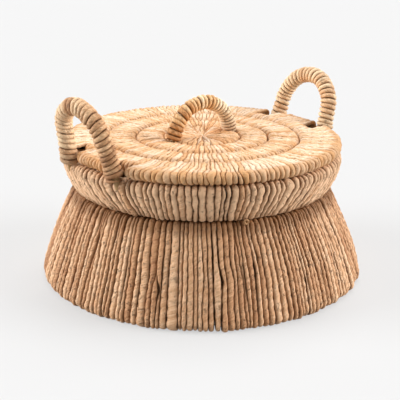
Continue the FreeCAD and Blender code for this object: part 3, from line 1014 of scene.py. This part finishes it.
@dataclass(frozen=True)
class LidRim:
    """The lid's outer ring, with a notch round each leg of the two side handles.

    Attributes:
        weave: How its cords lie.
        near: From the handle's middle plane to the notch's near side.
        far: From the handle's middle plane to the notch's far side.
        bottom: Distance of the notch's bottom from the lid's centre.
        tight: The same distance for the left handle's two notches.
        tongue: Radius of the outer edge of the tongue between two notches.
        closing: How far the far side leans over towards the leg, from the lid's underside up.
    """

    weave: Weave
    near: float = 24.0 * MM
    far: float = 42.7 * MM
    bottom: float = 108.8 * MM
    tight: tuple[float, float] = (113.6 * MM, 110.6 * MM)
    tongue: float = 125.4 * MM
    closing: float = 1.7 * MM

    def side(self, offset: float, rise: np.ndarray) -> np.ndarray:
        """Finds how far a notch's side lies from the handle's middle plane.

        Args:
            offset: The side's distance at the lid's underside.
            rise: 0 at the lid's underside, 1 at its top.

        Returns:
            The distance at each place.
        """
        moved = self.closing if abs(offset) > (self.near + self.far) / 2 else 0.0
        return offset - math.copysign(moved, offset) * rise

    def stretches(self, rim: float) -> list[RimStretch]:
        """Lists the stretches: for each handle a tongue and two notch bottoms, and two long arcs.

        Args:
            rim: Radius of the lid's edge.

        Returns:
            The stretches.
        """
        right, left = -SWING, math.pi + SWING
        stretches = []
        for handle, bottoms in ((right, (self.bottom, self.bottom)), (left, self.tight)):
            stretches += [
                RimStretch(handle, -self.near, handle, self.near, self.tongue),
                RimStretch(handle, self.near, handle, self.far, bottoms[0]),
                RimStretch(handle, -self.far, handle, -self.near, bottoms[1]),
            ]
        stretches.append(RimStretch(right, self.far, left, -self.far, rim))
        stretches.append(RimStretch(left, self.far, right + TURN, -self.far, rim))
        return stretches

    def wind(self, stretch: RimStretch, inner: Hoop, rng: np.random.Generator) -> Strands:
        """Winds one stretch, whose sides run straight out along the notches.

        Args:
            stretch: The stretch.
            inner: The rim's inner hoop.
            rng: Source of the unevenness.

        Returns:
            The cords.
        """
        weave = self.weave
        outer = stretch.reach - inner.wire - weave.cord
        ends = (inner.radius, inner.height), (outer, inner.height)
        loop = weave.loop(*ends, inner.wire + weave.cord / 2)
        held = np.maximum(loop.radius, self.bottom)
        rise = np.clip((loop.height - loop.height.min()) / np.ptp(loop.height), 0, 1)
        first = stretch.start + np.arcsin(self.side(stretch.start_offset, rise) / held)
        last = stretch.end + np.arcsin(self.side(stretch.end_offset, rise) / held)
        count = max(2, round(weave.count * float(last.mean() - first.mean()) / TURN))
        even = weave.seams(count, loop, rng, False)
        return weave.strands(loop, first + even * (last - first), rng)

    def build(self, shop: Workshop) -> None:
        """Winds every stretch.

        Args:
            shop: Makes the pieces.
        """
        inner = Hoop.of("lid_rim_inner_hoop")
        low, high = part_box("lid_rim_cord")
        for number, stretch in enumerate(self.stretches((high[1] - low[1]) / 2), start=1):
            strands = self.wind(stretch, inner, shop.rng)
            name = f"lid_rim_cords_{number}"
            shop.place(name, strands, Body.LID, Slot.LID, "lid_rim_cord")


# The wall and the discs


@dataclass(frozen=True)
class Wall:
    """The flared skirt and the collar above it."""

    skirt: Weave = Weave(
        count=192,
        cord=4.8 * MM,
        unevenness=0.24,
        sway=0.2 * MM,
        wander=0.38 * MM,
        gap=(0.2 * MM, 0.2 * MM),
        proud=0.6 * MM,
        bulge=2.0 * MM,
        # Painted shade in the groove at the waist, under the collar.
        warm=(0.0, 0.8),
        wedges=0.08,
        paleness=0.07,
        slits=0.22,
    )
    collar: Weave = Weave(
        count=152,
        cord=4.8 * MM,
        unevenness=0.18,
        sway=0.3 * MM,
        wander=0.35 * MM,
        gap=(0.2 * MM, 0.2 * MM),
        slant=26 * MM,
        proud=0.45 * MM,
        bulge=1.0 * MM,
        warm=(0.2, 0.25),
        # The collar's cords are paler than the skirt's, though both are the same rush: painted
        # light, which makes up for the light that the down-facing collar misses.
        paleness=0.62,
        slits=0.08,
    )

    def build(self, shop: Workshop) -> None:
        """Winds the skirt, in a back and a front piece, and the collar.

        Args:
            shop: Makes the pieces.
        """
        body, slot = Body.BASKET, Slot.RUSH
        skirt = self.skirt.wind(Hoop.of("base_hoop"), Hoop.of("skirt_top_hoop"), shop.rng)
        half = self.skirt.count // 2
        for name, part in (("back", slice(0, half)), ("front", slice(half, None))):
            shop.place(f"skirt_{name}_cords", skirt.part(part), body, slot, "skirt_cord")
        collar = self.collar.wind(Hoop.of("collar_bottom_hoop"), Hoop.of("rim_hoop"), shop.rng)
        shop.place("collar_cords", collar, body, slot, "collar_cord")


@dataclass(frozen=True)
class Disc:
    """A flat disc: a round middle with bands round it.

    Attributes:
        prefix: Start of its nodes' names.
        body: The body that it rides on.
        slot: The record's material slot.
        weaves: How the cords lie, in the middle and then in each band outwards.
        hub: Radius at which the middle's cords turn back.
    """

    prefix: str
    body: Body
    slot: Slot
    weaves: tuple[Weave, ...]
    hub: float = 0.4 * MM

    def build(self, shop: Workshop) -> None:
        """Winds the middle and then the bands.

        Args:
            shop: Makes the pieces.
        """
        rim = Hoop.of(f"{self.prefix}_centre_hoop")
        hoops = {f"{self.prefix}_centre": (replace(rim, radius=self.hub), rim)}
        for number in range(1, len(self.weaves)):
            band = f"{self.prefix}_band_{number}"
            hoops[band] = Hoop.of(f"{band}_inner_hoop"), Hoop.of(f"{band}_outer_hoop")
        for (part, (inner, outer)), weave in zip(hoops.items(), self.weaves):
            strands = weave.wind(inner, outer, shop.rng)
            shop.place(f"{part}_cords", strands, self.body, self.slot, f"{part}_cord")


# Handles


@dataclass(frozen=True)
class Bow:
    """A bow handle in its own plane: two straight legs that lean in to a round crown.

    Attributes:
        base: The point midway between the feet.
        span: Unit vector from foot to foot.
        rise: Unit vector from base to crown.
        half_span: Half the distance between the feet.
        height: From base to the top of the crown's centre line.
        crown_radius: Radius of the crown's centre line.
    """

    base: np.ndarray
    span: np.ndarray
    rise: np.ndarray
    half_span: float
    height: float
    crown_radius: float

    @property
    def centre(self) -> float:
        """Height of the crown's centre above base."""
        return self.height - self.crown_radius

    @property
    def leg(self) -> float:
        """Length of each straight leg, from its foot to where the crown starts."""
        return math.sqrt(self.half_span**2 + self.centre**2 - self.crown_radius**2)

    @property
    def start(self) -> float:
        """Finds where the crown starts, at the tangent from the foot to its circle.

        Returns:
            The angle there, up from the span, which is also the legs' lean off upright.
        """
        reach = math.hypot(self.half_span, self.centre)
        across = math.atan2(self.centre, self.half_span)
        return math.pi / 2 - across - math.asin(self.crown_radius / reach)

    @property
    def length(self) -> float:
        """The centre line's length from foot to foot."""
        return 2 * self.leg + self.crown_radius * (math.pi - 2 * self.start)

    def line(self, distance: np.ndarray) -> tuple[np.ndarray, np.ndarray]:
        """Finds points on the centre line.

        Args:
            distance: Distances from the foot at +span.

        Returns:
            The points, and the unit vectors in the bow's plane that point away from its middle.
        """
        radius, start, lean = self.crown_radius, self.start, self.start + math.pi / 2
        past_leg = distance - self.leg
        angle = np.clip(start + past_leg / radius, start, math.pi - start)
        before = np.minimum(past_leg, 0)
        after = np.maximum(past_leg - radius * (math.pi - 2 * start), 0)
        across = radius * np.cos(angle) + (before + after) * math.cos(lean)
        up = self.centre + radius * np.sin(angle) + (before - after) * math.sin(lean)
        normal = np.outer(np.cos(angle), self.span) + np.outer(np.sin(angle), self.rise)
        return self.base + np.outer(across, self.span) + np.outer(up, self.rise), normal


RINGS_PER_TURN = 26
# The cord's two ends taper over this many rings, to this share of its size.
TAPER_RINGS, LEAST_TAPER = 8, 0.15
# A turn's width as a share of its pitch, and how much the pitches differ, as a share.
TURN_WIDTH, PITCH_UNEVENNESS = 0.97, 0.15
# The tilt of the turns grows over this many turns from each foot.
TILT_TURNS = 3
# The thicker winding and the painted shade at the feet reach this far up from each foot.
SPREAD_REACH, FOOT_SHADE_REACH = 11 * MM, 13 * MM
# The winding's radius wavers by this much, in two waves: their rate against the turn, and start.
WAVER, WAVES = 0.15 * MM, ((0.37, 1.0), (0.83, 2.0))
# How the turns' tones are spread, as a beta distribution's two values.
TURN_TONES = (2.0, 1.6)


@dataclass(frozen=True)
class Winding:
    """The cord wound on a bow.

    Attributes:
        turns: Number of turns.
        radius: Outer radius of the wound handle.
        cord: The cord's thickness.
        early: Distance of the first turn's centre from the foot.
        coarse: How much longer the pitch is at the far foot than at the near one, as a share.
        tilt: How far one side of each turn is pushed along the bow, in metres.
        tilt_side: The side that is pushed, as an angle from the bow's outer edge.
        spread: How much thicker the winding gets at the feet, in metres.
        stain: How strong the painted shade is at the feet, where the winding meets what it stands
            on.
        paleness: How much paler the cord is than its batch at the two feet, as a share.
    """

    turns: int
    radius: float = 7.8 * MM
    cord: float = 4.4 * MM
    early: float = -1.0 * MM
    coarse: float = 0.0
    tilt: float = 0.0
    tilt_side: float = 0.0
    spread: float = 0.6 * MM
    stain: float = 0.3
    paleness: tuple[float, float] = (0.0, 0.0)

    def strands(self, bow: Bow, rng: np.random.Generator) -> Strands:
        """Winds a bow from foot to foot with one cord: a helix round the bow's centre line.

        Each turn is as wide as half the way from the turn behind it to the turn ahead.

        Args:
            bow: The bow.
            rng: Source of the unevenness.

        Returns:
            The cord, as one strand.
        """
        rings = self.turns * RINGS_PER_TURN + 1
        share = np.linspace(0, 1, rings)
        pitches = np.exp(rng.normal(0, PITCH_UNEVENNESS, self.turns))
        pitches = pitches * (1 + self.coarse * np.linspace(-0.5, 0.5, self.turns))
        stations = np.concatenate([[0], np.cumsum(pitches)]) / pitches.sum()
        even = np.interp(share * self.turns, np.arange(self.turns + 1), stations)
        angle = TURN * self.turns * share
        free = np.clip(np.minimum(share, 1 - share) * self.turns / TILT_TURNS, 0, 1)
        tilt = self.tilt * np.cos(angle - self.tilt_side) * free
        distance = self.early + even * (bow.length - 2 * self.early) + tilt
        from_foot = np.maximum(np.minimum(distance, bow.length - distance), 0)
        point, normal = bow.line(distance)
        outward = np.cos(angle)[:, None] * normal
        outward = outward + np.outer(np.sin(angle), np.cross(bow.span, bow.rise))
        waver = WAVER * sum(np.sin(angle * rate + start) for rate, start in WAVES)
        spread = self.spread * np.exp(-((from_foot / SPREAD_REACH) ** 2))
        centre = point + outward * (self.radius - self.cord / 2 + waver + spread)[:, None]
        ahead = np.linalg.norm(np.roll(centre, -RINGS_PER_TURN, axis=0) - centre, axis=1)
        ahead[-RINGS_PER_TURN:] = ahead[-RINGS_PER_TURN - 1]
        behind = np.roll(ahead, RINGS_PER_TURN)
        behind[:RINGS_PER_TURN] = ahead[:RINGS_PER_TURN]
        ring = np.arange(rings)
        taper = np.clip(np.minimum(ring, ring[::-1]) / TAPER_RINGS, LEAST_TAPER, 1)
        # The turns' tones step from foot to foot by paleness, which partly paints light and shade
        # along the handle.
        tones = rng.beta(*TURN_TONES, self.turns) + np.linspace(*self.paleness, self.turns)
        tone = tones[np.minimum(ring // RINGS_PER_TURN, self.turns - 1)]
        # Painted shade at the feet.
        stain = self.stain * np.exp(-((from_foot / FOOT_SHADE_REACH) ** 2))
        half_width = (ahead + behind) / 4 * TURN_WIDTH * taper
        return Strands.one(centre, outward, half_width, self.cord / 2 * taper, tone, stain)


@dataclass(frozen=True, kw_only=True)
class Handle:
    """A wound bow handle.

    Attributes:
        name: Its name in the record.
        body: The body that it rides on.
        rise: Height of its centre line in its own plane.
        crown_radius: Radius of its crown.
        half_span: Half the distance between its feet.
        winding: The cord wound on it.
        finish: Its batch of cord.
        twist: Shape of the cord's section.
    """

    name: str
    body: Body
    rise: float
    crown_radius: float
    half_span: float
    winding: Winding
    finish: RushFinish = HANDLE_RUSH
    twist: Twist = Twist(pitch=12 * MM, depth=0.05)

    def stand(self) -> tuple[np.ndarray, np.ndarray, np.ndarray]:
        """Says where the bow stands: its base, and the unit vectors of its span and rise."""
        raise NotImplementedError

    def build(self, shop: Workshop) -> None:
        """Winds the bow.

        Args:
            shop: Makes the pieces.
        """
        bow = Bow(*self.stand(), self.half_span, self.rise, self.crown_radius)
        strands = self.winding.strands(bow, shop.rng)
        piece, node = f"{self.name}_winding", f"{self.name}_cord"
        shop.place(piece, strands, self.body, Slot.HANDLE, node, self.twist, self.finish)


@dataclass(frozen=True, kw_only=True)
class SideHandle(Handle):
    """A handle that stands on the collar's rim and leans outwards.

    Attributes:
        azimuth: Where it stands on the rim.
        lean: How far it leans outwards.
        foot_radius: Distance of its feet's line from the axis.
        foot_height: Height of its feet.
    """

    azimuth: float
    lean: float
    body: Body = Body.BASKET
    half_span: float = 34.0 * MM
    foot_radius: float = 122.5 * MM
    foot_height: float = 118.0 * MM

    def stand(self) -> tuple[np.ndarray, np.ndarray, np.ndarray]:
        """Stands the bow on the rim, with its span along the rim.

        Returns:
            Its base, and the unit vectors of its span and rise.
        """
        outward = np.array([math.cos(self.azimuth), math.sin(self.azimuth), 0.0])
        base = outward * self.foot_radius + UP * self.foot_height
        rise = outward * math.sin(self.lean) + UP * math.cos(self.lean)
        return base, np.cross(UP, outward), rise


@dataclass(frozen=True, kw_only=True)
class LidHandle(Handle):
    """The handle that stands across the middle of the lid, along X."""

    body: Body = Body.LID
    half_span: float = 33.3 * MM

    def stand(self) -> tuple[np.ndarray, np.ndarray, np.ndarray]:
        """Stands the bow on the top of the lid's middle."""
        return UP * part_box("lid_centre_cord")[1][2], np.array([1.0, 0.0, 0.0]), UP


@dataclass(frozen=True)
class WaistKnot:
    """The end of the waist's twine, tied in a small loop that hangs out of the groove.

    Attributes:
        azimuth: Where it hangs.
        height: Height of the loop's centre.
        cord: The twine's thickness.
        size: Radius of the loop.
        sunk: How far the loop's centre lies inside the skirt's surface at the waist.
        stray: How far the loop bends out of its plane.
        turned: Where the loop starts and ends, as angles from its side.
        rings: Number of rings along it.
        tone: Its lightness.
        twist: Shape of the twine's section.
    """

    azimuth: float = math.radians(-111.3)
    height: float = 84.6 * MM
    cord: float = 1.7 * MM
    size: float = 1.7 * MM
    sunk: float = 0.8 * MM
    stray: float = 0.9 * MM
    turned: tuple[float, float] = (-0.35 * math.pi, 1.9 * math.pi)
    rings: int = 28
    tone: float = 0.7
    twist: Twist = Twist(pitch=4 * MM)

    def build(self, shop: Workshop) -> None:
        """Ties the knot.

        Args:
            shop: Makes the piece.
        """
        turn = np.linspace(*self.turned, self.rings)
        outward = np.array([math.cos(self.azimuth), math.sin(self.azimuth), 0.0])
        waist = Hoop.of("skirt_top_hoop")
        surface = waist.radius + waist.wire + Wall.skirt.cord
        radial = np.outer(np.cos(turn), np.cross(UP, outward)) + np.outer(np.sin(turn), UP)
        centre = outward * (surface - self.sunk) + UP * self.height + radial * self.size
        centre = centre + np.outer(self.stray * np.sin(turn / 2 + 0.4), outward)
        half, plain = np.full(self.rings, self.cord / 2), np.zeros(self.rings)
        knot = Strands.one(centre, radial, half, half, plain + self.tone, plain)
        shop.place("waist_knot", knot, Body.BASKET, Slot.LACING, None, self.twist)


# The object's settings

LID_BAND = Weave(
    count=128,
    cord=3.9 * MM,
    gap=(-0.1 * MM, 0.1 * MM),
    squareness=0.8,
    spacing=(3.4 * MM, 1.5 * MM, 1.6 * MM),
    warm=(0.4, 0.4),
)
INNER_LID_BAND = replace(LID_BAND, count=90, gap=(-0.2 * MM, 0.1 * MM), paleness=-0.1)
ROSETTE = replace(
    INNER_LID_BAND,
    count=48,
    sway=0.6 * MM,
    wander=0.3 * MM,
    spacing=(3.4 * MM, 1.5 * MM, 1.4 * MM),
    warm=(0.0, 0.35),
    paleness=-0.12,
)
RIM = replace(
    LID_BAND,
    count=172,
    unevenness=0.13,
    wander=0.35 * MM,
    squareness=0.95,
    spacing=(3.4 * MM, 1.4 * MM, 1.6 * MM),
    warm=(0.25, 0.7),
    paleness=0.12,
)
FLOOR_BAND = replace(
    LID_BAND,
    wander=0.35 * MM,
    gap=(0.1 * MM, 0.1 * MM),
    proud=0.25 * MM,
    spacing=(3.4 * MM, 2.0 * MM, 3.0 * MM),
    warm=(0.0, 0.0),
)
FLOOR_COUNTS = (48, 94, 141, 188)

ASSEMBLIES = (
    Wall(),
    Disc("lid", Body.LID, Slot.LID, (ROSETTE, INNER_LID_BAND, LID_BAND)),
    LidRim(RIM),
    SideHandle(
        name="left_handle",
        azimuth=math.pi + SWING,
        lean=math.radians(13.2),
        rise=57.3 * MM,
        crown_radius=28.8 * MM,
        winding=Winding(
            turns=33,
            tilt=2.4 * MM,
            tilt_side=math.radians(-51),
            # Painted shade at the feet.
            stain=0.6,
            # The tone goes from darker at one foot to paler at the other: partly the cord's own
            # tone, partly painted light and shade along the handle.
            paleness=(-0.45, 0.45),
        ),
    ),
    SideHandle(
        name="right_handle",
        azimuth=-SWING,
        lean=math.radians(16.2),
        rise=53.3 * MM,
        crown_radius=32.0 * MM,
        # Paler throughout than its batch: partly the cord's own tone, partly painted light.
        winding=Winding(turns=32, paleness=(0.4, 0.4)),
    ),
    LidHandle(
        name="lid_handle",
        rise=29.8 * MM,
        crown_radius=32.5 * MM,
        finish=LID_HANDLE_RUSH,
        winding=Winding(
            turns=25,
            radius=6.9 * MM,
            cord=4.2 * MM,
            coarse=0.3,
            spread=0.8 * MM,
            # Painted shade at the feet.
            stain=0.5,
            # The tone goes from paler at one foot to darker at the other: partly the cord's own
            # tone, partly painted light and shade along the handle.
            paleness=(1.1, -0.75),
        ),
    ),
    WaistKnot(),
    Disc(
        "floor",
        Body.BASKET,
        Slot.RUSH,
        tuple(replace(FLOOR_BAND, count=count) for count in FLOOR_COUNTS),
    ),
)


# The studio


@dataclass(frozen=True)
class Shot:
    """The photograph's camera.

    Attributes:
        heading: Azimuth that it looks along.
        pitch: How far it looks down.
        roll: How far its right side is raised.
        distance: From the camera to the point that it looks at.
        aside: How far that point lies to the right of the basket's axis.
        height: That point's height.
        lens: Focal length for a sensor 36 mm wide.
    """

    heading: float = FRONT + math.pi
    pitch: float = math.radians(18.50)
    roll: float = math.radians(0.39)
    distance: float = 868.9 * MM
    aside: float = -1.5 * MM
    height: float = 64.8 * MM
    lens: float = 82.7

    def make(self) -> None:
        """Creates the camera and makes it the scene's."""
        flat = Vector((math.cos(self.heading), math.sin(self.heading), 0))
        up = Vector(UP)
        right = flat.cross(up)
        ahead = flat * math.cos(self.pitch) - up * math.sin(self.pitch)
        over = right.cross(ahead)
        target = right * self.aside + up * self.height
        place = target - ahead * self.distance
        tilted_right = right * math.cos(self.roll) + over * math.sin(self.roll)
        tilted_up = over * math.cos(self.roll) - right * math.sin(self.roll)
        columns = Matrix((tilted_right, tilted_up, -ahead)).transposed()
        data = bpy.data.cameras.new("camera")
        data.lens = self.lens
        data.sensor_width = 36.0
        data.clip_end = 20.0
        camera = bpy.data.objects.new("camera", data)
        camera.matrix_world = Matrix.Translation(place) @ columns.to_4x4()
        bpy.context.scene.collection.objects.link(camera)
        bpy.context.scene.camera = camera


@dataclass(frozen=True)
class SoftSun:
    """A large soft lamp far away.

    Attributes:
        name: The lamp's name.
        side: Azimuth that it shines from, counted from the camera's side, to the right.
        elevation: Its height above the horizon.
        strength: Its strength.
        size: The angle that it fills.
    """

    name: str
    side: float
    elevation: float
    strength: float
    size: float

    def make(self) -> None:
        """Adds the lamp."""
        azimuth, level = FRONT + self.side, math.cos(self.elevation)
        flat = Vector((math.cos(azimuth), math.sin(azimuth), 0)) * level
        towards = flat + Vector(UP) * math.sin(self.elevation)
        data = bpy.data.lights.new(self.name, "SUN")
        data.energy = self.strength
        data.angle = self.size
        lamp = bpy.data.objects.new(self.name, data)
        lamp.rotation_euler = towards.to_track_quat("Z", "Y").to_euler()
        bpy.context.scene.collection.objects.link(lamp)


@dataclass(frozen=True)
class Studio:
    """Floor, sky and lamps.

    Attributes:
        backdrop: The backdrop's colour, as sRGB hex.
        floor_paper: The floor's colour, for the light that it throws back.
        seen_paper: The floor's colour to the camera, before the glow.
        glow: How much of the backdrop's own colour the camera sees in the floor.
        floor_reach: From the floor's middle to its edge.
        sky_strength: Strength of the even white light.
        suns: The lamps.
    """

    backdrop: str = "F5F5F5"
    floor_paper: str = "A4A4A4"
    seen_paper: str = "CECECE"
    glow: float = 0.6
    floor_reach: float = 6.0
    sky_strength: float = 0.25
    suns: tuple[SoftSun, ...] = (
        SoftSun("top", math.radians(165), math.radians(66), 1.75, math.radians(35)),
        SoftSun("right", math.radians(86), math.radians(21), 3.4, math.radians(40)),
        SoftSun("left", math.radians(-88), math.radians(21), 3.55, math.radians(40)),
    )

    def seen(self, shader: Shader) -> bpy.types.NodeSocket:
        """Says where the backdrop's own colour is what a ray sees.

        Args:
            shader: The node tree.

        Returns:
            1 for camera, glossy and transmitted rays, and 0 otherwise.
        """
        ray = shader.add("LightPath").node.outputs
        pair = ray["Is Camera Ray"], ray["Is Glossy Ray"]
        either = shader.add("Math", pair, operation="MAXIMUM")
        return shader.add("Math", (either, ray["Is Transmission Ray"]), operation="MAXIMUM")

    def make_sky(self) -> None:
        """Sets the world: even white light, and the backdrop's colour to the camera."""
        world = bpy.data.worlds.new("studio")
        sky = Shader(world)
        light = sky.add("Background", {"Color": (1, 1, 1, 1), "Strength": self.sky_strength})
        shown = sky.add("Background", {"Color": linear(self.backdrop), "Strength": 1.0})
        mixed = sky.add("MixShader", (self.seen(sky), light, shown))
        sky.add("OutputWorld", {"Surface": mixed})
        bpy.context.scene.world = world

    def make_floor(self) -> None:
        """Adds the floor of matt paper, which shows a pale shadow under the basket."""
        material = bpy.data.materials.new("paper_floor")
        shader = Shader(material)
        seen = self.seen(shader)
        papers = {6: linear(self.floor_paper), 7: linear(self.seen_paper)}
        paper = shader.add("Mix", {0: seen, **papers}, 2, data_type="RGBA")
        diffuse = shader.add("BsdfDiffuse", {"Color": paper})
        glow = shader.add("Emission", {"Color": linear(self.backdrop), "Strength": 1.0})
        share = shader.add("Math", (seen, self.glow), operation="MULTIPLY")
        surface = shader.add("MixShader", (share, diffuse, glow))
        shader.add("OutputMaterial", {"Surface": surface})
        corners = np.array([[-1, -1, 0], [1, -1, 0], [1, 1, 0], [-1, 1, 0]]) * self.floor_reach
        mesh = quad_mesh("floor", corners, np.array([[0, 1, 2, 3]]))
        mesh.materials.append(material)
        floor = bpy.data.objects.new("floor", mesh)
        bpy.context.scene.collection.objects.link(floor)

    def make(self) -> None:
        """Adds everything."""
        self.make_sky()
        self.make_floor()
        for sun in self.suns:
            sun.make()
        bpy.context.scene.view_settings.view_transform = "Standard"


def main() -> None:
    """Builds the studio and the object."""
    logging.basicConfig(level=logging.INFO, format="%(message)s")
    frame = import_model()
    Shot().make()
    Studio().make()
    shop = Workshop(frame)
    for assembly in ASSEMBLIES:
        assembly.build(shop)


if __name__ == "__main__":
    main()
